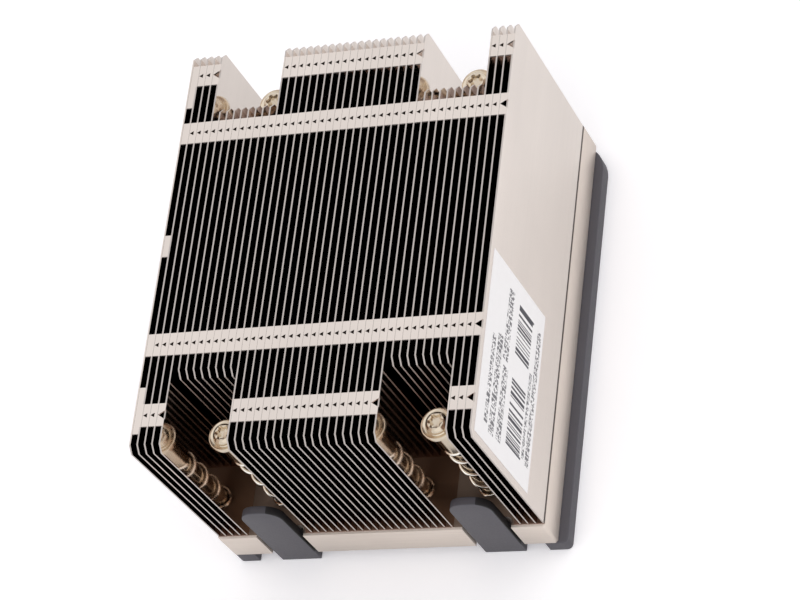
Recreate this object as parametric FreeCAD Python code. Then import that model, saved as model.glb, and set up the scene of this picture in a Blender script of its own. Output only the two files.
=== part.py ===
import FreeCAD, Part
import math
import os

V = FreeCAD.Vector

# A passive cooler for a server processor: a stack of folded sheet fins soldered on a thick base
# plate, held down by four captive spring screws, and standing in the moulded cover that protects
# its contact face. +X runs across the fins, +Y runs along them (the way the air goes) and +Z is up.
# The origin is the middle of the four-screw pattern, on the contact face under the base plate.

# ---- driving dimensions, in millimetres -------------------------------------------------------
# screw pattern of the socket frame
pattern_x = 56.0             # between screw axes, across the fins
pattern_y = 94.0             # between screw axes, along the fins
screw_to_front = 10.5        # front screws to the front ends of the fins
screw_to_back = 7.5          # back screws to the back ends of the fins

# sheet fins
fin_sheet = 0.4              # sheet thickness
fin_pitch = 2.0              # from one fin to the next
fin_height = 53.5            # above the base plate
fin_corner = 1.8             # cut off each upper corner
middle_count = 20            # full-length fins between the two screw channels
channel_count = 8            # shortened fins behind each screw channel
right_count = 4              # full-length fins right of the right channel
left_count = 5               # full-length fins left of the left channel
channel_front = 19.5         # how far the shortened fins stay back from the front
channel_back = 16.4          # and from the back
seam = 0.04                  # open line between one folded tab and the next fin

# folded tabs that lock each fin to the one on its left
tab_width = 6.0
tab_end_gap = 6.5            # group tabs from the front ends, in the full-length groups only
tab_back_end_gap = 3.8       # and from the back ends
tab_row_gap = 6.0            # rows over the whole width, from the front of the shortened fins
tab_back_row_gap = 4.3       # and from their back
lock_width = 2.4             # arrow cut in a tab, along the fin
lock_depth = 1.9             # length of that cut, across the fins
wide_tab_width = 12.4        # wider tabs in the first gap, round the group tabs
wide_tab_gap = 4.6           # from the front ends
wide_tab_back_gap = 3.8      # from the back ends

# base plate
base_thickness = 10.5
base_ledge = 0.8             # base plate beyond the fin ends, front and back
base_side = 0.3              # and beyond the leftmost fin
base_corner = 0.6            # cut off each upright corner
notch_width = 12.8           # edge notch in front of each screw, for the tabs of the cover
notch_depth = 3.0
notch_corner = 1.2

# captive screws
shank_radius = 1.95
thread_radius = 1.75         # threaded end, below the retaining clip
shank_clearance = 0.06       # running fit of the shank in its hole
collar_radius = 2.75
collar_length = 10.5
spring_length = 26.4         # fitted length, base plate to collar
head_radius = 4.3
head_thickness = 1.2
dome_radius = 2.95
dome_height = 1.5
drive_radius = 1.75          # hexagon socket, corner to centre
drive_depth = 1.4
tip_length = 2.4             # threaded end below the contact face

# retaining clips
clip_pocket_radius = 4.7
clip_pocket_depth = 2.0      # counterbore in the contact face that hides the clip
clip_width = 6.0             # a square plate, open on one side
clip_thickness = 0.5
clip_slot = 2.2              # width of the open side
groove_radius = 1.4
groove_play = 0.05           # clip in its groove, each way

# springs
wire_diameter = 0.8
spring_play = 0.35           # wire to shank
spring_turns = 4.4
dead_turn = 0.55             # closed turn at each end
stations_per_turn = 10       # wire sections in one turn
wire_sides = 6

# protective cover under the base plate
cover_height = 4.4
cover_proud = 2.5            # beyond the side of the base plate
cover_wall = 1.8
cover_floor = 1.2
cover_corner_back = 8.0
cover_corner_front = 1.5
cover_front_inset = 3.0      # front wall behind the front edge of the base plate
cover_side_block = 6.0       # width of the side wall where it reaches the front edge
well_radius = 6.0            # openings in the floor of the cover, round the screws
cover_tab_width = 11.0
cover_tab_thickness = 2.2
cover_tab_height = 30.0      # from the underside of the cover
cover_tab_corner = 4.5
cover_rib = 1.6              # ribs under the base plate

# label on the right end fin
label_length = 47.5
label_height = 37.5
label_thickness = 0.12
label_from_front = 2.0
label_from_top = 2.0

# ---- worked out from the above ----------------------------------------------------------------
fin_length = screw_to_front + pattern_y + screw_to_back
fin_front = -pattern_y / 2 - screw_to_front
fin_back = fin_front + fin_length
fin_top = base_thickness + fin_height
fin_count = left_count + channel_count + middle_count + channel_count + right_count
first_fin_x = -(middle_count - 1) / 2 * fin_pitch - (channel_count + left_count) * fin_pitch
last_fin_x = first_fin_x + (fin_count - 1) * fin_pitch

base_front = fin_front - base_ledge
base_back = fin_back + base_ledge
group_tabs = (fin_front + tab_end_gap, fin_back - tab_back_end_gap - tab_width)
row_tabs = (fin_front + channel_front + tab_row_gap, fin_back - channel_back - tab_back_row_gap - tab_width)
base_left = first_fin_x - fin_sheet / 2 - base_side
base_right = last_fin_x + fin_sheet / 2

cover_right = base_right + cover_proud
cover_left = -cover_right
hole_radius = shank_radius + shank_clearance
clip_top = clip_pocket_depth
collar_bottom = base_thickness + spring_length
head_bottom = collar_bottom + collar_length

screws = {
    "front_left": (-pattern_x / 2, -pattern_y / 2),
    "front_right": (pattern_x / 2, -pattern_y / 2),
    "back_left": (-pattern_x / 2, pattern_y / 2),
    "back_right": (pattern_x / 2, pattern_y / 2),
}


def box(x0, x1, y0, y1, z0, z1):
    return Part.makeBox(x1 - x0, y1 - y0, z1 - z0, V(x0, y0, z0))


def cylinder(radius, x, y, z0, z1):
    return Part.makeCylinder(radius, z1 - z0, V(x, y, z0), V(0, 0, 1))


def prism(points, direction):
    """A closed polygon, pushed along a direction."""
    return Part.Face(Part.makePolygon(points + points[:1])).extrude(direction)


def is_vertical(edge):
    first, last = edge.Vertexes[0], edge.Vertexes[-1]
    return abs(first.X - last.X) < 1e-6 and abs(first.Y - last.Y) < 1e-6


def is_along_y(edge):
    first, last = edge.Vertexes[0], edge.Vertexes[-1]
    return abs(first.X - last.X) < 1e-6 and abs(first.Z - last.Z) < 1e-6


def rounded_plate(x0, x1, y0, y1, z0, z1, front_radius, back_radius):
    """A flat block with its upright edges rounded; a radius of 0 leaves an edge sharp."""
    block = box(x0, x1, y0, y1, z0, z1)
    for y, radius in ((y0, front_radius), (y1, back_radius)):
        edges = [e for e in block.Edges if is_vertical(e) and abs(e.Vertexes[0].Y - y) < 1e-6]
        if radius > 0:
            block = block.makeFillet(radius, edges)
    return block


# ---- fins ---------------------------------------------------------------------------------------
def is_short(number):
    """Whether a fin, counted from the left, stands behind a screw channel."""
    left_channel = range(left_count, left_count + channel_count)
    right_start = left_count + channel_count + middle_count
    right_channel = range(right_start, right_start + channel_count)
    return number in left_channel or number in right_channel


def fin_span(number):
    """Front and back end of a fin, along Y."""
    if is_short(number):
        return fin_front + channel_front, fin_back - channel_back
    return fin_front, fin_back


def tabs_of(number):
    """Where the tabs of a fin start and end, along Y."""
    if number == 0:
        return []
    spans = [(start, start + tab_width) for start in row_tabs]
    if number == 1:
        middle = (fin_front + fin_back - tab_width) / 2
        front, back = fin_front + wide_tab_gap, fin_back - wide_tab_back_gap
        spans += [(front, front + wide_tab_width), (middle, middle + tab_width),
                  (back - wide_tab_width, back)]
    elif not is_short(number) and not is_short(number - 1):
        spans += [(start, start + tab_width) for start in group_tabs]
    return spans


def open_locks(number):
    """The tabs of a fin whose arrow cut shows, because no further tab closes it."""
    if number < 2:
        return []
    closed = tabs_of(number + 1) if number + 1 < fin_count else []
    return [span for span in tabs_of(number) if span not in closed]


def fin_plate(x, y0, y1):
    """The upright sheet of a fin, with its two upper corners cut off."""
    z0, z1, c = base_thickness, fin_top, fin_corner
    outline = [(y0, z0), (y0, z1 - c), (y0 + c, z1), (y1 - c, z1), (y1, z1 - c), (y1, z0)]
    return prism([V(x, y, z) for y, z in outline], V(fin_sheet, 0, 0))


def lock_cut(x, y0, y1):
    """The arrow-shaped cut at the root of a tab, where the tongue of a further tab would lie."""
    root, z = x + fin_sheet, fin_top - fin_sheet
    middle = (y0 + y1) / 2
    points = [V(root, middle - lock_width / 2, z), V(root, middle + lock_width / 2, z),
              V(root - lock_depth, middle, z)]
    return prism(points, V(0, 0, fin_sheet))


def make_fin(number):
    """An upright sheet with a foot and tabs, both folded to the left up to the fin before it."""
    x = first_fin_x + number * fin_pitch - fin_sheet / 2
    y0, y1 = fin_span(number)
    fin = fin_plate(x, y0, y1)
    if number == 0:
        return fin
    left, right = x - fin_pitch + fin_sheet + seam, x + fin_sheet / 2
    folds = [box(left, right, y0, y1, base_thickness, base_thickness + fin_sheet)]
    for start, end in tabs_of(number):
        folds.append(box(left, right, start, end, fin_top - fin_sheet, fin_top))
    fin = fin.fuse(folds)
    cuts = [lock_cut(x, start, end) for start, end in open_locks(number)]
    if cuts:
        fin = fin.cut(cuts)
    return fin.removeSplitter()


# ---- base plate ---------------------------------------------------------------------------------
def edge_notch(x, y):
    """The notch in the edge of the base plate that the tab of the cover passes through."""
    half, r = notch_width / 2, notch_corner
    if y < 0:
        return rounded_plate(x - half, x + half, base_front - 1, base_front + notch_depth,
                             0, base_thickness, 0, r)
    return rounded_plate(x - half, x + half, base_back - notch_depth, base_back + 1,
                         0, base_thickness, r, 0)


def make_base():
    plate = box(base_left, base_right, base_front, base_back, 0, base_thickness)
    corners = [e for e in plate.Edges if e.Length > base_thickness - 1e-6 and is_vertical(e)]
    plate = plate.makeChamfer(base_corner, corners)
    cuts = []
    for x, y in screws.values():
        cuts.append(edge_notch(x, y))
        cuts.append(cylinder(hole_radius, x, y, 0, base_thickness))
        cuts.append(cylinder(clip_pocket_radius, x, y, 0, clip_pocket_depth))
    return plate.cut(cuts).removeSplitter()


# ---- captive screws -----------------------------------------------------------------------------
def hexagon(x, y, radius, z0, z1):
    corners = []
    for i in range(6):
        angle = math.radians(60 * i)
        corners.append(V(x + radius * math.cos(angle), y + radius * math.sin(angle), z0))
    return prism(corners, V(0, 0, z1 - z0))


def make_screw(x, y):
    flange_top = head_bottom + head_thickness
    dome_top = flange_top + dome_height
    groove_low = clip_top - clip_thickness - 2 * groove_play
    profile = [
        (0, dome_top), (dome_radius * 0.75, dome_top), (dome_radius, flange_top),
        (head_radius, flange_top), (head_radius, head_bottom),
        (collar_radius, head_bottom), (collar_radius, collar_bottom),
        (shank_radius, collar_bottom), (shank_radius, clip_top),
        (groove_radius, clip_top), (groove_radius, groove_low),
        (thread_radius, groove_low), (thread_radius, -tip_length), (0, -tip_length),
    ]
    points = [V(x + r, y, z) for r, z in profile]
    body = Part.Face(Part.makePolygon(points + points[:1])).revolve(V(x, y, 0), V(0, 0, 1), 360)
    return body.cut(hexagon(x, y, drive_radius, dome_top - drive_depth, dome_top))


def make_clip(x, y):
    """A flat clip pushed from the side into the groove of the screw, under the base plate."""
    top = clip_top - groove_play
    bottom = top - clip_thickness
    half = clip_width / 2
    plate = box(x - half, x + half, y - half, y + half, bottom, top)
    mouth = box(x, x + half, y - clip_slot / 2, y + clip_slot / 2, bottom, top)
    return plate.cut([cylinder(groove_radius + groove_play, x, y, bottom, top), mouth])


def coil_height(turn):
    """Height of the wire's centre after a number of turns: closed ends and an open middle."""
    low = base_thickness + wire_diameter / 2 + seam
    high = collar_bottom - wire_diameter / 2 - seam
    rise = wire_diameter * dead_turn
    if turn <= dead_turn:
        return low + wire_diameter * turn
    if turn >= spring_turns - dead_turn:
        return high - wire_diameter * (spring_turns - turn)
    return low + rise + (high - low - 2 * rise) * (turn - dead_turn) / (spring_turns - 2 * dead_turn)


def make_spring(x, y):
    """A coil of wire with a closed turn at each end, from the base plate to the collar."""
    wire_radius = wire_diameter / 2
    coil_radius = shank_radius + spring_play + wire_radius
    stations = round(spring_turns * stations_per_turn)
    sections = []
    for i in range(stations + 1):
        turn = spring_turns * i / stations
        outward = V(math.cos(2 * math.pi * turn), math.sin(2 * math.pi * turn), 0)
        points = []
        for k in range(wire_sides):
            angle = 2 * math.pi * (k + 0.5) / wire_sides
            reach = coil_radius + wire_radius * math.cos(angle)
            height = coil_height(turn) + wire_radius * math.sin(angle)
            points.append(V(x, y, 0) + outward * reach + V(0, 0, height))
        sections.append(Part.makePolygon(points + points[:1]))
    return Part.makeLoft(sections, True, True)


# ---- protective cover ---------------------------------------------------------------------------
def cover_tab(x, y):
    """An upright tab with two round shoulders, standing in the notch of the base plate."""
    half = cover_tab_width / 2
    y0 = base_front if y < 0 else base_back - cover_tab_thickness
    top = cover_tab_height - cover_height
    tab = box(x - half, x + half, y0, y0 + cover_tab_thickness, -cover_height, top)
    shoulders = [e for e in tab.Edges if is_along_y(e) and e.Vertexes[0].Z > top - 1e-6]
    return tab.makeFillet(cover_tab_corner, shoulders)


def make_cover():
    z0 = -cover_height
    tray_front = base_front + cover_front_inset
    outside = rounded_plate(cover_left, cover_right, base_front, base_back, z0, 0,
                            cover_corner_front, cover_corner_back)
    front_gap = box(cover_left + cover_side_block, cover_right - cover_side_block,
                    base_front - 1, tray_front, z0 - 1, 1)
    w = cover_wall
    hollow = rounded_plate(cover_left + w, cover_right - w, tray_front + w, base_back - w,
                           z0 + cover_floor, 1, 0, cover_corner_back - w)
    tray = outside.cut([front_gap, hollow])
    rib_x = pattern_x / 2 - well_radius - cover_rib
    ribs = []
    for side in (-1, 1):
        ribs.append(box(side * rib_x - cover_rib / 2, side * rib_x + cover_rib / 2,
                        tray_front + w / 2, base_back - w / 2, z0 + cover_floor / 2, 0))
    tabs = []
    for x, y in screws.values():
        tabs.append(cover_tab(x, y))
        root = (base_front, tray_front + w) if y < 0 else (base_back - w, base_back)
        half = cover_tab_width / 2
        tabs.append(box(x - half, x + half, root[0], root[1], z0, z0 + cover_floor))
    cover = tray.fuse(ribs + tabs)
    wells = [cylinder(well_radius, x, y, z0 - 1, z0 + cover_floor + 0.5) for x, y in screws.values()]
    return cover.cut(wells).removeSplitter()


# ---- label --------------------------------------------------------------------------------------
def make_label():
    y0 = fin_front + label_from_front
    z1 = fin_top - label_from_top
    return box(base_right, base_right + label_thickness, y0, y0 + label_length, z1 - label_height, z1)


# ---- every piece in a file of its own -----------------------------------------------------------
parts = {}
for number in range(fin_count):
    parts["fin_%02d" % (number + 1)] = make_fin(number)
parts["base_plate"] = make_base()
parts["base_cover"] = make_cover()
parts["label"] = make_label()
for place, (x, y) in screws.items():
    parts["screw_" + place] = make_screw(x, y)
    parts["clip_" + place] = make_clip(x, y)
    parts["spring_" + place] = make_spring(x, y)

os.makedirs("parts", exist_ok=True)
for name, shape in parts.items():
    shape.exportStep("parts/%s.step" % name)
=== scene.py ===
import math

import bmesh
import bpy
from mathutils import Matrix, Vector


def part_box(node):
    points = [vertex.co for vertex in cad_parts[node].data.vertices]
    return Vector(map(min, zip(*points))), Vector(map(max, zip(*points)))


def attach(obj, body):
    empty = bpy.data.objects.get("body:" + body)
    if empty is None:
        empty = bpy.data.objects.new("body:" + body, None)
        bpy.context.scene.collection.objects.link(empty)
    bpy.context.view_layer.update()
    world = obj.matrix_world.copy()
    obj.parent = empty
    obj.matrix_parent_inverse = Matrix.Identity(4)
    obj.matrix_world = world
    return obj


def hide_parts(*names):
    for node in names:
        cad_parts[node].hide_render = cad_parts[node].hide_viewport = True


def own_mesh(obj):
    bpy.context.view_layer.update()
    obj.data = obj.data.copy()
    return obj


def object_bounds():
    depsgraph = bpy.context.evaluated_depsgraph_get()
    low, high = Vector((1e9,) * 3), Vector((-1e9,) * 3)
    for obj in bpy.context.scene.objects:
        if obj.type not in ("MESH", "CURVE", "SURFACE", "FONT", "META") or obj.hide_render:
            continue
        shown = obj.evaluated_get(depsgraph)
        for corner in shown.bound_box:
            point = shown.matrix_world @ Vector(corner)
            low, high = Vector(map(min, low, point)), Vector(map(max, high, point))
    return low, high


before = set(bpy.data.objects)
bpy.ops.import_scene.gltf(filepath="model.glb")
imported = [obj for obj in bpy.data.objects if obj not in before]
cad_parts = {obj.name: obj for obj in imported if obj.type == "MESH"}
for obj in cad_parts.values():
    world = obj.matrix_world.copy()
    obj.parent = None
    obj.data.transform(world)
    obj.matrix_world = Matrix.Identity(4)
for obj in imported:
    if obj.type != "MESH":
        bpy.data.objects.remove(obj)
cad_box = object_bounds()

bl_info = {
    "name": "Server cooler dressing",
    "version": (1, 0, 0),
    "blender": (4, 5, 0),
    "location": "3D View > Sidebar > Cooler",
    "description": "Gives the packed fin cooler its finishes, springs, screws, label print "
                   "and stage",
    "category": "Object",
}

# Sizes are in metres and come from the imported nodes; the frame's origin is the middle of the
# screw pattern on the contact face, +Y runs along the fins and +Z is up.
MM = 0.001
CORNERS = ("front_left", "front_right", "back_left", "back_right")
FINS = sorted(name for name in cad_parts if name.startswith("fin_"))
FIRST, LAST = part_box(FINS[0]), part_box(FINS[-1])
# How far a painted border stays clear of the edge that it follows.
HAIR = 0.05 * MM


# ---- small tools --------------------------------------------------------------------------------
def middle(node):
    low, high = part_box(node)
    return (low + high) / 2


def mesh_object(name, vertices, faces, smooth_below=35):
    """A piece from corners and faces, shaded smooth where it bends less than this many degrees."""
    mesh = bpy.data.meshes.new(name)
    mesh.from_pydata(vertices, [], faces)
    mesh.validate()
    return finished_object(name, mesh, smooth_below)


def finished_object(name, mesh, smooth_below):
    mesh.shade_smooth()
    mesh.set_sharp_from_angle(angle=math.radians(smooth_below))
    piece = bpy.data.objects.new(name, mesh)
    bpy.context.scene.collection.objects.link(piece)
    return piece


def bevelled_copy(name, node, width, segments, before=None):
    """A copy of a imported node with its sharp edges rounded."""
    same_place, flat, sharp = 1e-6, math.radians(1), math.radians(40)
    shape = bmesh.new()
    shape.from_mesh(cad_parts[node].data)
    bmesh.ops.remove_doubles(shape, verts=shape.verts, dist=same_place)
    if before:
        before(shape)
    bmesh.ops.dissolve_limit(shape, angle_limit=flat, verts=shape.verts, edges=shape.edges)
    edges = [edge for edge in shape.edges
             if len(edge.link_faces) == 2 and edge.calc_face_angle() > sharp]
    bmesh.ops.bevel(shape, geom=edges, offset=width, offset_type="OFFSET", segments=segments,
                    profile=0.5, affect="EDGES", clamp_overlap=True)
    bmesh.ops.triangulate(shape, faces=shape.faces)
    mesh = bpy.data.meshes.new(name)
    shape.to_mesh(mesh)
    shape.free()
    return finished_object(name, mesh, 50)


def dress(piece, body, material, slot, *stands_for):
    """Give a new piece its material and its body, and hide the nodes it stands for; the slot is not
    used.
    """
    piece.data.materials.clear()
    piece.data.materials.append(material)
    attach(piece, body)
    if stands_for:
        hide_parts(*stands_for)
    return piece


def paint_node(node, material):
    """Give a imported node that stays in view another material."""
    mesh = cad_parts[node].data
    mesh.materials.clear()
    mesh.materials.append(material)


# ---- shader arithmetic --------------------------------------------------------------------------
class Value:
    """A number that changes over a surface. Arithmetic on it adds Math nodes."""

    def __init__(self, finish, socket):
        self.finish = finish
        self.socket = socket

    def math(self, operation, *others, first=None):
        values = (self, *others) if first is None else (first, self)
        node = self.finish.node("ShaderNodeMath", {"operation": operation}, dict(enumerate(values)))
        return Value(self.finish, node.outputs[0])

    def __add__(self, other):
        return self.math("ADD", other)

    def __radd__(self, other):
        return self.math("ADD", first=other)

    def __sub__(self, other):
        return self.math("SUBTRACT", other)

    def __rsub__(self, other):
        return self.math("SUBTRACT", first=other)

    def __mul__(self, other):
        return self.math("MULTIPLY", other)

    def __rmul__(self, other):
        return self.math("MULTIPLY", first=other)

    def __truediv__(self, other):
        return self.math("DIVIDE", other)

    def __lt__(self, other):
        return self.math("LESS_THAN", other)

    def __gt__(self, other):
        return self.math("GREATER_THAN", other)

    def absolute(self):
        return self.math("ABSOLUTE")

    def whole(self):
        return self.math("FLOOR")

    def fraction(self):
        return self.math("FRACT")

    def within(self, low, high):
        return (self > low) * (self < high)

    def ramp(self, low, high):
        """0 below low, 1 above high, and straight between them."""
        node = self.finish.node("ShaderNodeMapRange", {"clamp": True},
                                {"Value": self, "From Min": low, "From Max": high})
        return Value(self.finish, node.outputs["Result"])


class Finish:
    """A material under construction, with one method that makes any node."""

    def __init__(self, name, color, **constants):
        self.material = bpy.data.materials.new(name)
        self.material.use_nodes = True
        self.material.diffuse_color = (*color, 1)
        self.tree = self.material.node_tree
        self.tree.nodes.clear()
        output = self.tree.nodes.new("ShaderNodeOutputMaterial")
        self.shader = self.tree.nodes.new("ShaderNodeBsdfPrincipled")
        self.tree.links.new(self.shader.outputs[0], output.inputs["Surface"])
        for socket, value in constants.items():
            self.shader.inputs[socket.replace("_", " ")].default_value = value
        self.place = self.node("ShaderNodeTexCoord", {}, {}).outputs["Object"]
        parts = self.node("ShaderNodeSeparateXYZ", {}, {0: self.place}).outputs
        self.x, self.y, self.z = (Value(self, parts[i]) for i in range(3))

    def node(self, kind, settings, inputs):
        made = self.tree.nodes.new(kind)
        for key, value in settings.items():
            setattr(made, key, value)
        for key, value in inputs.items():
            value = value.socket if isinstance(value, Value) else value
            if isinstance(value, bpy.types.NodeSocket):
                self.tree.links.new(value, made.inputs[key])
            else:
                made.inputs[key].default_value = value
        return made

    def stretched(self, x, y, z):
        """The place on the piece, with each axis multiplied by its own factor."""
        made = self.node("ShaderNodeVectorMath", {"operation": "MULTIPLY"},
                         {0: self.place, 1: (x, y, z)})
        return made.outputs[0]

    def noise(self, x, y, z, detail):
        """Soft noise with this many patches in a metre along each axis."""
        made = self.node("ShaderNodeTexNoise", {}, {"Vector": self.stretched(x, y, z), "Scale": 1.0,
                                                    "Detail": detail, "Roughness": 0.5})
        return Value(self, made.outputs["Fac"])

    def chance(self, *values):
        """A number from 0 to 1 that stays the same while the whole numbers it is made from do."""
        vector = self.node("ShaderNodeCombineXYZ", {}, dict(enumerate(values))).outputs[0]
        made = self.node("ShaderNodeTexWhiteNoise", {"noise_dimensions": "3D"}, {"Vector": vector})
        return Value(self, made.outputs["Value"])

    def normal_x(self):
        """How far the surface faces across the fins, from -1 to 1."""
        normal = self.node("ShaderNodeNewGeometry", {}, {}).outputs["Normal"]
        return Value(self, self.node("ShaderNodeSeparateXYZ", {}, {0: normal}).outputs[0])

    def mix(self, share, first, second):
        """A colour between two colours, or colour sockets."""
        first, second = ((*c, 1) if isinstance(c, tuple) else c for c in (first, second))
        made = self.node("ShaderNodeMix", {"data_type": "RGBA"}, {0: share, 6: first, 7: second})
        return made.outputs[2]

    def feed(self, socket, value):
        value = value.socket if isinstance(value, Value) else value
        self.tree.links.new(value, self.shader.inputs[socket])

    def bump(self, height, distance, strength):
        made = self.node("ShaderNodeBump", {},
                         {"Height": height, "Distance": distance, "Strength": strength})
        self.tree.links.new(made.outputs[0], self.shader.inputs["Normal"])


# ---- finishes -----------------------------------------------------------------------------------
def scaled(color, factor):
    return tuple(channel * factor for channel in color)


def uneven(finish, cloud, color, darker, lighter):
    """The colour, a little darker in some places and lighter in others."""
    return finish.mix(cloud.ramp(0.3, 0.7), scaled(color, darker), scaled(color, lighter))


def sheet_metal(settings):
    """Rolled aluminium sheet: bright, with faint lines along the fins, painted shade deep in the
    gaps.
    """
    skin, line_share, warm_shade_share, seam_share = 0.02 * MM, 0.10, 0.85, 0.08
    gap_shade_share, less_at_back = 0.9, 0.25
    color = tuple(settings.fin_color)
    finish = Finish("fin sheet", color, Metallic=1.0)
    cloud = finish.noise(30, 18, 40, 3)
    lines = finish.noise(900, 12, 1400, 2)
    shade = uneven(finish, cloud, color, 0.94, 1.03)
    shade = finish.mix(lines.ramp(0.35, 0.65) * line_share, shade, scaled(color, 0.8))

    wall = finish.normal_x().absolute() > 0.5
    inside = wall * finish.x.within(FIRST[0].x + skin, LAST[1].x - skin)
    # painted warm shade on the inside walls beside the front screws, stronger low down
    shading = painted_warm_shade(finish, settings, inside)
    shade = finish.mix(shading * warm_shade_share, shade, tuple(settings.warm_shade_color))
    # painted shade deep in the gaps between the fins, a little lighter at the back
    at_back = finish.y > FIRST[0].y + settings.back_row + settings.tab_width
    deep_shade = inside * painted_gap_shade(finish) * (gap_shade_share - less_at_back * at_back)
    shade = finish.mix(deep_shade, shade, tuple(settings.gap_shade_color))

    marks = lock_marks(finish, settings)
    shade = finish.mix(marks, shade, tuple(settings.lock_color))
    tabs = over_all_tabs(finish, settings)
    cut_edge = (1 - wall) * (1 - tabs)
    shade = finish.mix(cut_edge, shade, tuple(settings.edge_color))
    # painted shade on the fins' feet and low on the sloping ends of the short fins
    shade = finish.mix(cut_edge * shaded_edges(finish, settings), shade, tuple(settings.gap_shade_color))
    foot = (wall - inside) * (finish.z < LAST[0].z + settings.foot_joint)
    seams = (tab_seams(finish, settings) * tabs * seam_share).math("MAXIMUM", foot)
    finish.feed("Base Color", finish.mix(seams, shade, tuple(settings.joint_color)))
    finish.feed("Metallic", 1 - 0.4 * cut_edge)
    finish.feed("Roughness", 0.09 + 0.06 * lines - 0.05 * inside + 0.5 * marks + 0.2 * seams
                + 0.3 * cut_edge)
    finish.bump(lines, 0.01 * MM, 0.15)
    return finish.material


def painted_warm_shade(finish, settings, inside):
    """Painted warm shade on the inside walls in front of the first full row of tabs, stronger low
    down.
    """
    starts, full, curve = 3 * MM, 40 * MM, 0.6
    in_front = finish.y < LAST[0].y + settings.front_row
    low_down = (LAST[1].z - finish.z).ramp(starts, full).math("POWER", curve)
    return inside * in_front * low_down


def painted_gap_shade(finish):
    """Painted shade: 1 deep between neighbouring fins, 0 at their edges and beside the four screw
    channels.
    """
    shallow, deep_enough, back_slope, shortened = 0.3 * MM, 5 * MM, 11.5 * MM, 10 * MM
    in_from_top = LAST[1].z - finish.z
    in_from_front = finish.y - LAST[0].y
    in_from_back = LAST[1].y - finish.y
    steeper = 1 + 2 * (in_from_back > back_slope)
    edge = in_from_top.math("MINIMUM", in_from_front).math("MINIMUM", in_from_back)
    deep = (edge * steeper).ramp(shallow, deep_enough)
    whole = LAST[1].y - LAST[0].y
    boxes = [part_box(name) for name in FINS]
    short = [(low, high) for low, high in boxes if high.y - low.y < whole - shortened]
    pitch = boxes[1][0].x - FIRST[0].x
    for side in (-1, 1):
        ours = [box for box in short if box[0].x * side > 0]
        left, right = min(box[0].x for box in ours) - pitch, max(box[1].x for box in ours) + pitch
        beyond = (finish.y < ours[0][0].y).math("MAXIMUM", finish.y > ours[0][1].y)
        deep = deep * (1 - beyond * finish.x.within(left, right))
    return deep


def shaded_edges(finish, settings):
    """Painted shade: 1 on the fins' folded feet, and rising down the sloping ends of the short fins
    in front.
    """
    reach, starts, full, share = 25 * MM, 1.5 * MM, 24 * MM, 0.85
    feet = finish.z < FIRST[0].z + settings.fin_sheet + 2 * HAIR
    short = max(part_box(name)[0].y for name in FINS)
    slope = finish.y.within(short - 4 * HAIR, short + reach)
    lower = (FIRST[1].z - finish.z).ramp(starts, full)
    return feet.math("MAXIMUM", slope * lower * share)


def on_top(finish):
    return finish.z > FIRST[1].z - HAIR


def rows(finish, settings):
    """How far a place is from the middle line of each of the four rows of tabs."""
    for start in (settings.front_group, settings.front_row, settings.back_row, settings.back_group):
        yield (finish.y - (FIRST[0].y + start + settings.tab_width / 2)).absolute()


def any_of(masks):
    """1 where any of the masks is 1."""
    found = None
    for mask in masks:
        found = mask if found is None else found.math("MAXIMUM", mask)
    return found


def over_all_tabs(finish, settings):
    """1 on the rows of tabs, and on all that is folded over to the first fin."""
    beside_first = finish.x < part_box(FINS[1])[1].x - settings.fin_sheet
    half = settings.tab_width / 2 + HAIR
    in_rows = any_of(row < half for row in rows(finish, settings))
    return on_top(finish) * in_rows.math("MAXIMUM", beside_first)


def past_fin(finish, settings):
    """How far a place is past the face of the fin on its left."""
    pitch = settings.fin_pitch
    return ((finish.x - FIRST[0].x - settings.fin_sheet) / pitch).fraction() * pitch


def lock_marks(finish, settings):
    """The dark end of each arrow-shaped lock, in the four rows of tabs on top of the fins."""
    flare, dark_length = 0.55, 1.1 * MM
    across = past_fin(finish, settings)
    point = settings.fin_pitch - settings.lock_length
    marks = any_of((row < (across - point) * flare) * (across < point + dark_length)
                   for row in rows(finish, settings))
    return marks * on_top(finish) * (finish.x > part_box(FINS[1])[1].x)


def tab_seams(finish, settings):
    """The fine joint where each folded tab ends against the next fin."""
    before, after = 0.14 * MM, 0.05 * MM
    across = past_fin(finish, settings)
    return (across > settings.fin_pitch - before).math("MAXIMUM", across < after)


def milled_metal(settings):
    """The thick base plate: milled aluminium with cutter lines, brown painted shade under the fins.
    """
    line_share, gap_floor_shade_share = 0.12, 0.85
    color = tuple(settings.base_color)
    finish = Finish("base metal", color, Metallic=0.65)
    cloud = finish.noise(24, 24, 60, 3)
    lines = finish.noise(60, 60, 2600, 2)
    shade = uneven(finish, cloud, color, 0.92, 1.05)
    shade = finish.mix(lines.ramp(0.4, 0.6) * line_share, shade, scaled(color, 0.75))
    # painted shade on the plate's top at the bottom of the gaps between the fins
    under_fins = (finish.y.within(FIRST[0].y, LAST[1].y)
                  * finish.x.within(FIRST[0].x, LAST[1].x - 2 * HAIR))
    shadowing = under_fins * (finish.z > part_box("base_plate")[1].z - HAIR)
    shade = finish.mix(shadowing * gap_floor_shade_share, shade, tuple(settings.gap_floor_shade_color))
    finish.feed("Base Color", shade)
    finish.feed("Roughness", 0.42 + 0.12 * cloud)
    finish.bump(lines, 0.02 * MM, 0.3)
    return finish.material


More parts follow.
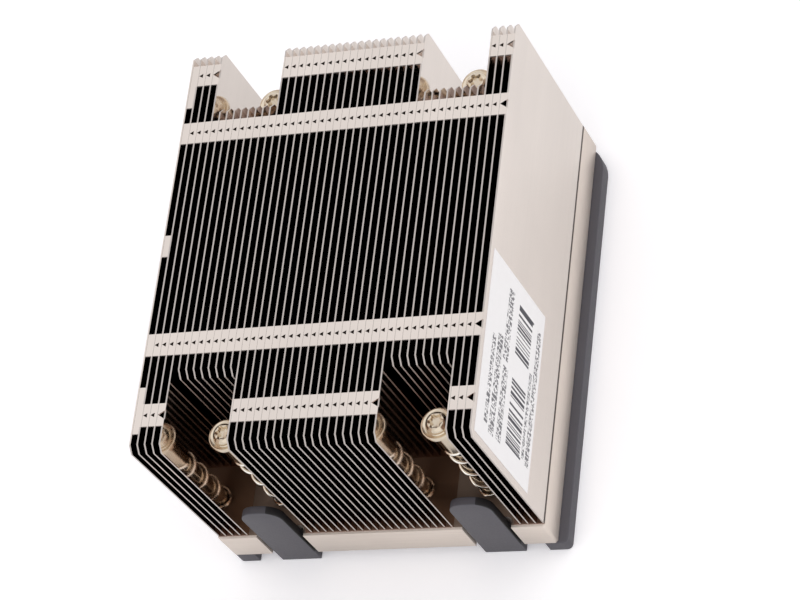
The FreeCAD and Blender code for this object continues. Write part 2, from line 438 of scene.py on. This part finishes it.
def moulded_plastic(settings):
    """The dark grey cover: satin plastic with a fine grain, painted shade on the right side of each
    tab.
    """
    color = tuple(settings.cover_color)
    finish = Finish("cover plastic", color, Metallic=0.0)
    grain = finish.noise(2600, 2600, 2600, 2)
    cloud = finish.noise(35, 35, 35, 2)
    shade = finish.mix(cloud, scaled(color, 0.9), scaled(color, 1.12))
    low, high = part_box("base_cover")
    left_wall, right_wall, plate_bottom, facing, share = 3 * MM, 6 * MM, 0.3 * MM, 0.3, 0.95
    on_tabs = finish.x.within(low.x + left_wall, high.x - right_wall)
    # painted shade on the right side face of each tab
    right_side_shade = (finish.normal_x() > facing) * (finish.z > plate_bottom) * on_tabs
    finish.feed("Base Color", finish.mix(right_side_shade * share, shade, scaled(color, 0.1)))
    finish.feed("Roughness", 0.42 + 0.16 * grain)
    finish.bump(grain, 0.03 * MM, 0.5)
    return finish.material


def plated_steel(name, color, roughness):
    """Bright nickel on turned steel: fine rings round the axis and slightly uneven plating."""
    finish = Finish(name, color, Metallic=1.0)
    rings = finish.noise(40, 40, 5200, 1)
    cloud = finish.noise(260, 260, 160, 2)
    finish.feed("Base Color", finish.mix(cloud, scaled(color, 0.86), scaled(color, 1.08)))
    finish.feed("Roughness", roughness + 0.10 * rings + 0.05 * cloud)
    finish.bump(rings, 0.01 * MM, 0.3)
    return finish.material


# Fields of the label, each as shares of its length (from, to) and of its height (from, to).
BAR_CODES = ((0.12, 0.48, 0.21, 0.47), (0.60, 0.89, 0.21, 0.47))
END_BARS = ((0.118, 0.130, 0.19, 0.47), (0.878, 0.89, 0.19, 0.47))
SPECK_ROWS = ((0.52, 0.91, 0.575, 0.67), (0.08, 0.49, 0.555, 0.645), (0.07, 0.62, 0.69, 0.78),
              (0.10, 0.58, 0.81, 0.87), (0.14, 0.62, 0.135, 0.18), (0.12, 0.88, 0.04, 0.11))


def label_print(settings):
    """White label stock with two plain bar codes and rows of random specks that can't be read."""
    bar, group, speck_width, speck_height = 0.30 * MM, 1.35 * MM, 0.40 * MM, 0.50 * MM
    bar_seed, speck_seed, blank_bars, blank_specks = 3.0, 5.0, 0.50, 0.38
    space, ink_share = 0.18, 0.85
    low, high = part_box("label")
    color = tuple(settings.label_color)
    finish = Finish("label print", color, Roughness=0.5)
    along = (finish.y - low.y) / (high.y - low.y)
    up = (finish.z - low.z) / (high.z - low.z)

    def inside(fields):
        return any_of(along.within(y0, y1) * up.within(z0, z1) for y0, y1, z0, z1 in fields)

    bars = finish.chance((finish.y / bar).whole(), bar_seed, 1.0) > blank_bars
    ends = inside(END_BARS)
    codes = inside(BAR_CODES)
    grouped = (finish.y / group).fraction() > space
    column, row = (finish.y / speck_width).whole(), (finish.z / speck_height).whole()
    specks = finish.chance(column, row, speck_seed) > blank_specks
    lines = grouped * specks * inside(SPECK_ROWS) * ink_share
    ink = (bars * codes).math("MAXIMUM", ends).math("MAXIMUM", lines)
    fibre = finish.noise(400, 400, 400, 3)
    paper = finish.mix(fibre, scaled(color, 0.96), color)
    finish.feed("Base Color", finish.mix(ink, paper, tuple(settings.ink_color)))
    finish.feed("Roughness", 0.42 + 0.15 * fibre)
    return finish.material


# ---- settings -----------------------------------------------------------------------------------
def length(name, description, default):
    return bpy.props.FloatProperty(name=name, description=description, default=default,
                                   unit="LENGTH", precision=5)


def number(name, description, default):
    return bpy.props.FloatProperty(name=name, description=description, default=default)


def colour(name, description, default):
    return bpy.props.FloatVectorProperty(name=name, description=description, default=default,
                                         subtype="COLOR", size=3, min=0, max=1)


class CoolerSizes(bpy.types.PropertyGroup):
    fin_pitch: length("Fin pitch", "From one fin to the next", 2.0 * MM)
    fin_sheet: length("Fin sheet", "Thickness of a fin", 0.4 * MM)
    tab_width: length("Tab width", "Width of a folded tab", 6.0 * MM)
    front_group: length("Front group tabs", "Start of the front tabs, from the front", 6.5 * MM)
    front_row: length("Front row tabs", "Start of the first full row", 25.5 * MM)
    back_row: length("Back row tabs", "Start of the second full row", 85.3 * MM)
    back_group: length("Back group tabs", "Start of the back tabs", 102.2 * MM)
    lock_length: length("Lock length", "Length of an arrow lock across the fins", 1.9 * MM)
    wire: length("Spring wire", "Diameter of the spring wire", 0.8 * MM)
    spring_turns: number("Spring turns", "Turns of each spring", 4.4)
    closed_turn: number("Closed turn", "Closed turn at each spring end", 0.55)
    rim_closing: length("Rim closing", "How far the cover's right wall is thickened", 0.9 * MM)
    foot_joint: length("Foot joint", "Dark joint under the end fins", 1.1 * MM)
    shank: length("Shank radius", "Radius of the screw's shank", 1.95 * MM)
    thread: length("Thread radius", "Radius of the threaded tip", 1.75 * MM)
    groove: length("Groove radius", "Radius of the clip's groove", 1.35 * MM)
    collar: length("Collar radius", "Radius of the screw's collar", 2.75 * MM)
    dome: length("Dome radius", "Radius of the dome on the screw's head", 2.95 * MM)
    travel: length("Screw travel", "How far a screw is pressed down", 4.5 * MM)
    edge: length("Edge rounding", "Rounding on the plate and the cover", 0.3 * MM)


class CoolerColours(bpy.types.PropertyGroup):
    fin_color: colour("Fins", "Sheet metal of the fins", (0.82, 0.75, 0.70))
    # painted shade deep in the gaps, on the fins' feet and low on the short fins' sloping ends
    gap_shade_color: colour("Gaps", "Dull walls deep between the fins", (0.25, 0.15, 0.11))
    # painted warm shade on the fin walls beside the front screws
    warm_shade_color: colour("Film", "Warm film on the walls beside the front screws", (0.60, 0.40, 0.27))
    edge_color: colour("Cut edges", "Sheared edges of the fins", (0.54, 0.495, 0.47))
    # painted shade on the plate between the fins
    gap_floor_shade_color: colour("Residue", "Brown residue on the plate between the fins",
                          (0.20, 0.135, 0.095))
    joint_color: colour("Joints", "Dark joints between the sheets", (0.07, 0.05, 0.04))
    lock_color: colour("Locks", "Dark end of each arrow lock", (0.02, 0.015, 0.012))
    base_color: colour("Base plate", "Milled metal of the base plate", (0.76, 0.68, 0.62))
    cover_color: colour("Cover", "Plastic of the protective cover", (0.072, 0.069, 0.083))
    label_color: colour("Label", "Stock of the label", (0.90, 0.89, 0.90))
    ink_color: colour("Ink", "Bars and specks on the label", (0.03, 0.03, 0.045))
    screw_color: colour("Screws", "Plating of the screws", (0.70, 0.61, 0.49))
    spring_color: colour("Springs", "Plating of the springs", (0.93, 0.90, 0.84))
    clip_color: colour("Clips", "Spring steel of the clips", (0.42, 0.42, 0.43))


class SceneOperator(bpy.types.Operator):
    """Shared settings of the operators below."""
    bl_options = {"REGISTER", "UNDO"}

    @property
    def sizes(self):
        return bpy.context.scene.cooler_sizes

    @property
    def colours(self):
        return bpy.context.scene.cooler_colours


class Both:
    """Sizes and colours behind one name, for the finishes that need both."""

    def __init__(self, *groups):
        self.groups = groups

    def __getattr__(self, name):
        for group in self.groups:
            if hasattr(group, name):
                return getattr(group, name)
        raise AttributeError(name)


# ---- pieces -------------------------------------------------------------------------------------
class COOLER_OT_fins(SceneOperator):
    """Give all the fins their sheet metal"""
    bl_idname = "cooler.fins"
    bl_label = "Finish the fins"

    def execute(self, context):
        material = sheet_metal(Both(self.sizes, self.colours))
        for name in FINS:
            paint_node(name, material)
        return {"FINISHED"}


class COOLER_OT_base(SceneOperator):
    """Round the edges of the base plate and give it milled metal"""
    bl_idname = "cooler.base"
    bl_label = "Finish the base plate"

    def execute(self, context):
        plate = bevelled_copy("milled_plate", "base_plate", self.sizes.edge, 2)
        dress(plate, "heatsink", milled_metal(self.colours), "base", "base_plate")
        return {"FINISHED"}


class COOLER_OT_cover(SceneOperator):
    """Round the edges of the cover and give it grained plastic"""
    bl_idname = "cooler.cover"
    bl_label = "Finish the cover"

    def close_rim(self, shape):
        """Thicken the right wall inwards, so that it meets the plate that rests on it."""
        nearest, farthest, short_of_back, above_floor = 1.75 * MM, 2.4 * MM, 5 * MM, 1 * MM
        low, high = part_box("base_cover")
        for corner in shape.verts:
            x, y, z = corner.co
            inner_face = high.x - farthest < x < high.x - nearest and y < high.y - short_of_back
            if inner_face and z > low.z + above_floor:
                corner.co.x -= self.sizes.rim_closing

    def execute(self, context):
        cover = bevelled_copy("moulded_cover", "base_cover", self.sizes.edge, 3, self.close_rim)
        dress(cover, "heatsink", moulded_plastic(self.colours), "cover", "base_cover")
        return {"FINISHED"}


class COOLER_OT_label(SceneOperator):
    """Print plain bars and specks on the label"""
    bl_idname = "cooler.label"
    bl_label = "Print the label"

    def execute(self, context):
        paint_node("label", label_print(self.colours))
        return {"FINISHED"}


def coil_tree():
    """A coil of round wire with a closed turn at each end, as a node tree with named inputs."""
    steps_per_turn, wire_sides = 48, 14
    tree = bpy.data.node_groups.new("wire coil", "GeometryNodeTree")
    face = tree.interface
    face.new_socket("Geometry", in_out="INPUT", socket_type="NodeSocketGeometry")
    for name in ("Centre X", "Centre Y", "Bottom", "Top", "Coil Radius", "Wire Diameter", "Turns",
                 "Closed Turn"):
        face.new_socket(name, in_out="INPUT", socket_type="NodeSocketFloat")
    face.new_socket("Material", in_out="INPUT", socket_type="NodeSocketMaterial")
    face.new_socket("Geometry", in_out="OUTPUT", socket_type="NodeSocketGeometry")
    given = tree.nodes.new("NodeGroupInput").outputs

    def node(kind, inputs, operation=None):
        made = tree.nodes.new(kind)
        if operation:
            made.operation = operation
        for key, value in inputs.items():
            if isinstance(value, bpy.types.NodeSocket):
                tree.links.new(value, made.inputs[key])
            else:
                made.inputs[key].default_value = value
        return made

    def sum_of(operation, *values):
        return node("ShaderNodeMath", dict(enumerate(values)), operation).outputs[0]

    wire, closed = given["Wire Diameter"], given["Closed Turn"]
    both_closed = sum_of("MULTIPLY", closed, 2.0)
    spiral = node("GeometryNodeCurveSpiral", {
        "Resolution": steps_per_turn, "Rotations": given["Turns"], "Height": 0.0,
        "Start Radius": given["Coil Radius"], "End Radius": given["Coil Radius"]})
    share = node("GeometryNodeSplineParameter", {}).outputs["Factor"]
    turn = sum_of("MULTIPLY", share, given["Turns"])
    open_turns = sum_of("SUBTRACT", given["Turns"], both_closed)
    closed_start = sum_of("MINIMUM", turn, closed)
    past_start = sum_of("SUBTRACT", turn, closed)
    opened = sum_of("MINIMUM", sum_of("MAXIMUM", past_start, 0.0), open_turns)
    closed_end = sum_of("MAXIMUM", sum_of("SUBTRACT", past_start, open_turns), 0.0)
    height = sum_of("SUBTRACT", sum_of("SUBTRACT", given["Top"], given["Bottom"]), wire)
    open_height = sum_of("SUBTRACT", height, sum_of("MULTIPLY", both_closed, wire))
    pitch = sum_of("DIVIDE", open_height, open_turns)
    rise = sum_of("ADD", sum_of("MULTIPLY", sum_of("ADD", closed_start, closed_end), wire),
                  sum_of("MULTIPLY", opened, pitch))
    radius = sum_of("MULTIPLY", wire, 0.5)
    middle_height = sum_of("ADD", sum_of("ADD", given["Bottom"], radius), rise)
    place = node("ShaderNodeCombineXYZ",
                 {0: given["Centre X"], 1: given["Centre Y"], 2: middle_height})
    path = node("GeometryNodeSetPosition",
                {"Geometry": spiral.outputs[0], "Offset": place.outputs[0]})
    section = node("GeometryNodeCurvePrimitiveCircle", {"Resolution": wire_sides, "Radius": radius})
    solid = node("GeometryNodeCurveToMesh", {
        "Curve": path.outputs[0], "Profile Curve": section.outputs[0], "Fill Caps": True})
    smooth = node("GeometryNodeSetShadeSmooth", {0: solid.outputs[0]})
    real = node("GeometryNodeRealizeInstances", {0: smooth.outputs[0]})
    coloured = node("GeometryNodeSetMaterial",
                    {"Geometry": real.outputs[0], "Material": given["Material"]})
    node("NodeGroupOutput", {0: coloured.outputs[0]})
    return tree


def made_by(tree, name, **inputs):
    """A plain mesh object made by a node tree with these inputs."""
    holder = bpy.data.objects.new(name + "_maker", bpy.data.meshes.new(name + "_maker"))
    bpy.context.scene.collection.objects.link(holder)
    modifier = holder.modifiers.new("maker", "NODES")
    modifier.node_group = tree
    sockets = {s.name: s.identifier for s in tree.interface.items_tree if s.in_out == "INPUT"}
    for key, value in inputs.items():
        modifier[sockets[key.replace("_", " ")]] = value
    seen = holder.evaluated_get(bpy.context.evaluated_depsgraph_get())
    mesh = bpy.data.meshes.new_from_object(seen)
    mesh.name = name
    bpy.data.objects.remove(holder)
    piece = bpy.data.objects.new(name, mesh)
    bpy.context.scene.collection.objects.link(piece)
    return piece


class COOLER_OT_springs(SceneOperator):
    """Make the four smooth springs"""
    bl_idname = "cooler.springs"
    bl_label = "Make the springs"

    def execute(self, context):
        sizes = self.sizes
        roughness = 0.06
        material = plated_steel("spring plating", tuple(self.colours.spring_color), roughness)
        tree = coil_tree()
        for corner in CORNERS:
            low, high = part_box("spring_" + corner)
            axis = middle("screw_" + corner)
            radius = high.x - axis.x - sizes.wire / 2
            spring = made_by(tree, "wire_spring_" + corner, Centre_X=axis.x, Centre_Y=axis.y,
                             Bottom=low.z, Top=high.z, Coil_Radius=radius, Wire_Diameter=sizes.wire,
                             Turns=sizes.spring_turns, Closed_Turn=sizes.closed_turn,
                             Material=material)
            dress(spring, "heatsink", material, "spring", "spring_" + corner)
            fitted = high.z - low.z
            axis.x
            axis.y
            low.z
            (fitted - sizes.travel) / fitted
            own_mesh(spring)
        return {"FINISHED"}


def turned(name, rings, sides, x, y):
    """A turned piece from rings of (radius, height, depth of the lobes), from its tip upwards."""
    lobes, smooth_below = 6, 32
    vertices, faces = [], []
    for radius, height, lobe in rings:
        for i in range(sides):
            angle = 2 * math.pi * i / sides
            reach = radius * (1 - lobe * (0.5 - 0.5 * math.cos(lobes * angle)))
            vertices.append((x + reach * math.cos(angle), y + reach * math.sin(angle), height))
    for ring in range(len(rings) - 1):
        for i in range(sides):
            j = (i + 1) % sides
            low, high = ring * sides, (ring + 1) * sides
            faces.append((low + i, low + j, high + j, high + i))
    faces.append(tuple(reversed(range(sides))))
    last = (len(rings) - 1) * sides
    faces.append(tuple(range(last, last + sides)))
    return mesh_object(name, vertices, faces, smooth_below)


def screw_rings(node, sizes):
    """The outline of a captive screw, from the threaded tip up to the floor of its recess."""
    low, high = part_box(node)
    plate_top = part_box("base_plate")[1].z
    head = high.x - middle(node).x
    top = high.z
    dome, collar, shank = sizes.dome, sizes.collar, sizes.shank
    thread, groove, recess = sizes.thread, sizes.groove, 1.95 * MM
    groove_low, groove_high = 1.35 * MM, 2.0 * MM
    dome_height, flange_height, collar_height = 1.5 * MM, 1.2 * MM, 10.5 * MM
    tip, soft, fillet, rounding = 0.5 * MM, 0.25 * MM, 0.2 * MM, 0.15 * MM
    flange_top = top - dome_height
    flange = flange_top - flange_height
    collar_bottom = flange - collar_height
    outline = [
        # threaded tip, groove of the clip and shank
        (thread - tip, low.z), (thread, low.z + tip), (thread, groove_low),
        (groove, groove_low), (groove, groove_high), (shank, groove_high),
        (shank, plate_top), (shank, collar_bottom),
        # collar and flange
        (collar - soft, collar_bottom), (collar, collar_bottom + soft), (collar, flange - fillet),
        (collar + fillet, flange), (head - rounding, flange), (head, flange + rounding),
        # raised rim of the flange and the trough inside it
        (head, flange_top - soft), (head - 0.12 * MM, flange_top - 0.02 * MM),
        (head - 0.35 * MM, flange_top), (head - 0.5 * MM, flange_top - rounding),
        (dome + 0.2 * MM, flange_top - 0.3 * MM), (dome, flange_top - 0.1 * MM),
    ]
    steps, step_angle, drawn_in, steep = 6, 11, 0.34, 1.6
    full_rise = math.sin(math.radians(steps * step_angle))
    for step in range(1, steps + 1):
        angle = math.radians(step * step_angle)
        outline.append((dome - (dome * drawn_in) * (1 - math.cos(angle)) * steep,
                        flange_top + dome_height * math.sin(angle) / full_rise))
    rings = [(radius, height, 0) for radius, height in outline]
    # the six-lobe recess: its bevelled mouth, its walls and its floor
    mouth, depth, floor_depth = 0.12 * MM, 1.4 * MM, 1.55 * MM
    rings += [(recess + mouth, top, 0.15), (recess, top - mouth, 0.26), (recess, top - depth, 0.26),
              (recess * 0.5, top - floor_depth, 0.1)]
    return rings


class COOLER_OT_screws(SceneOperator):
    """Make the four captive screws with a rimmed flange, a dome and a six-lobe recess"""
    bl_idname = "cooler.screws"
    bl_label = "Make the screws"

    def execute(self, context):
        sides, screw_roughness, clip_roughness = 72, 0.09, 0.35
        material = plated_steel("screw plating", tuple(self.colours.screw_color), screw_roughness)
        clips = plated_steel("clip steel", tuple(self.colours.clip_color), clip_roughness)
        for corner in CORNERS:
            node = "screw_" + corner
            axis = middle(node)
            rings = screw_rings(node, self.sizes)
            screw = turned("turned_screw_" + corner, rings, sides, axis.x, axis.y)
            dress(screw, node, material, "screw", node)
            paint_node("clip_" + corner, clips)
        return {"FINISHED"}


# ---- stage --------------------------------------------------------------------------------------
# The camera: its whole turn as an axis times an angle, the way from it to the front of the fins
# in millimetres, and its lens.
CAMERA_TURN = (2.6203, 0.0342, -0.5287)
CAMERA_PUSH = (-0.7313, 62.3079, 759.4802)
CAMERA_LENS = 3000.0 / 800 * 36
# The lamps: name, place, width in metres and power in watts.
LAMPS = (("key", (0.60, 0.50, 0.75), 1.4, 1.1), ("fill", (0.20, -0.75, 0.60), 1.2, 0.8))
LAMP_COLOR = (1.0, 0.98, 0.95)
LAMP_TARGET = (0, 0, 0.03)
SURROUND_COLOR, SURROUND_STRENGTH = (1.0, 0.985, 0.985), 0.93
FLOOR_GLOW = (0.18, 0.178, 0.195)


def set_camera(scene):
    """The camera is turned about all three axes, so its whole turn is given."""
    turn = Matrix.Rotation(Vector(CAMERA_TURN).length, 3, Vector(CAMERA_TURN)).transposed()
    place = -(turn @ Vector(CAMERA_PUSH)) * MM + Vector((0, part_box(FINS[0])[0].y, 0))
    lens = bpy.data.cameras.new("camera")
    lens.sensor_width = 36
    lens.lens = CAMERA_LENS
    lens.clip_start = 0.01
    camera = bpy.data.objects.new("camera", lens)
    flipped = turn @ Matrix(((1, 0, 0), (0, -1, 0), (0, 0, -1)))
    camera.matrix_world = Matrix.Translation(place) @ flipped.to_4x4()
    scene.collection.objects.link(camera)
    scene.camera = camera


def add_light(name, place, size, power):
    lamp = bpy.data.lights.new(name, "AREA")
    lamp.shape = "DISK"
    lamp.size = size
    lamp.energy = power
    lamp.color = LAMP_COLOR
    light = bpy.data.objects.new(name, lamp)
    away = (Vector(place) - Vector(LAMP_TARGET)).to_track_quat("Z", "Y")
    light.matrix_world = Matrix.Translation(place) @ away.to_matrix().to_4x4()
    bpy.context.scene.collection.objects.link(light)


class COOLER_OT_stage(SceneOperator):
    """Lay the pale floor, hang the soft lights and place the camera"""
    bl_idname = "cooler.stage"
    bl_label = "Set the stage"

    def execute(self, context):
        scene = bpy.context.scene
        scene.view_settings.view_transform = "Standard"
        half, clear = 3.0, 0.05 * MM
        ground = cad_box[0][2] - clear
        corners = [(-half, -half, ground), (half, -half, ground), (half, half, ground),
                   (-half, half, ground)]
        floor = mesh_object("floor", corners, [(0, 1, 2, 3)])
        floor.data.materials.append(floor_finish())
        set_world(scene)
        for lamp in LAMPS:
            add_light(*lamp)
        set_camera(scene)
        return {"FINISHED"}


def floor_finish():
    """A pale floor that takes the shadow and glows a little for the camera alone."""
    finish = Finish("floor", (0.9, 0.9, 0.9), Roughness=0.9, Emission_Strength=1.0)
    grain = finish.noise(30, 30, 30, 2)
    finish.feed("Base Color", finish.mix(grain, (0.95, 0.95, 0.955), (0.97, 0.97, 0.975)))
    camera_ray = finish.node("ShaderNodeLightPath", {}, {}).outputs["Is Camera Ray"]
    finish.feed("Emission Color", finish.mix(camera_ray, (0, 0, 0), FLOOR_GLOW))
    return finish.material


def set_world(scene):
    """An even pale surround that the camera sees as white."""
    world = bpy.data.worlds.new("surround")
    scene.world = world
    world.use_nodes = True
    tree = world.node_tree
    tree.nodes.clear()
    output = tree.nodes.new("ShaderNodeOutputWorld")
    mix = tree.nodes.new("ShaderNodeMixShader")
    soft = tree.nodes.new("ShaderNodeBackground")
    white = tree.nodes.new("ShaderNodeBackground")
    soft.inputs["Color"].default_value = (*SURROUND_COLOR, 1)
    soft.inputs["Strength"].default_value = SURROUND_STRENGTH
    white.inputs["Color"].default_value = (1, 1, 1, 1)
    white.inputs["Strength"].default_value = 1.0
    path = tree.nodes.new("ShaderNodeLightPath")
    tree.links.new(path.outputs["Is Camera Ray"], mix.inputs[0])
    tree.links.new(soft.outputs[0], mix.inputs[1])
    tree.links.new(white.outputs[0], mix.inputs[2])
    tree.links.new(mix.outputs[0], output.inputs[0])


class COOLER_PT_panel(bpy.types.Panel):
    """The cooler's pieces and settings"""
    bl_idname = "COOLER_PT_panel"
    bl_label = "Cooler"
    bl_space_type = "VIEW_3D"
    bl_region_type = "UI"
    bl_category = "Cooler"

    def draw(self, context):
        for operator in OPERATORS:
            self.layout.operator(operator.bl_idname)
        for group in (context.scene.cooler_sizes, context.scene.cooler_colours):
            for name in group.__annotations__:
                self.layout.prop(group, name)


OPERATORS = (COOLER_OT_fins, COOLER_OT_base, COOLER_OT_cover, COOLER_OT_label, COOLER_OT_springs,
             COOLER_OT_screws, COOLER_OT_stage)
CLASSES = (CoolerSizes, CoolerColours, *OPERATORS, COOLER_PT_panel)


def register():
    for item in CLASSES:
        bpy.utils.register_class(item)
    bpy.types.Scene.cooler_sizes = bpy.props.PointerProperty(type=CoolerSizes)
    bpy.types.Scene.cooler_colours = bpy.props.PointerProperty(type=CoolerColours)


def unregister():
    del bpy.types.Scene.cooler_sizes
    del bpy.types.Scene.cooler_colours
    for item in reversed(CLASSES):
        bpy.utils.unregister_class(item)


def main():
    register()
    bpy.ops.cooler.fins()
    bpy.ops.cooler.base()
    bpy.ops.cooler.cover()
    bpy.ops.cooler.label()
    bpy.ops.cooler.springs()
    bpy.ops.cooler.screws()
    bpy.ops.cooler.stage()


if __name__ == "__main__":
    main()
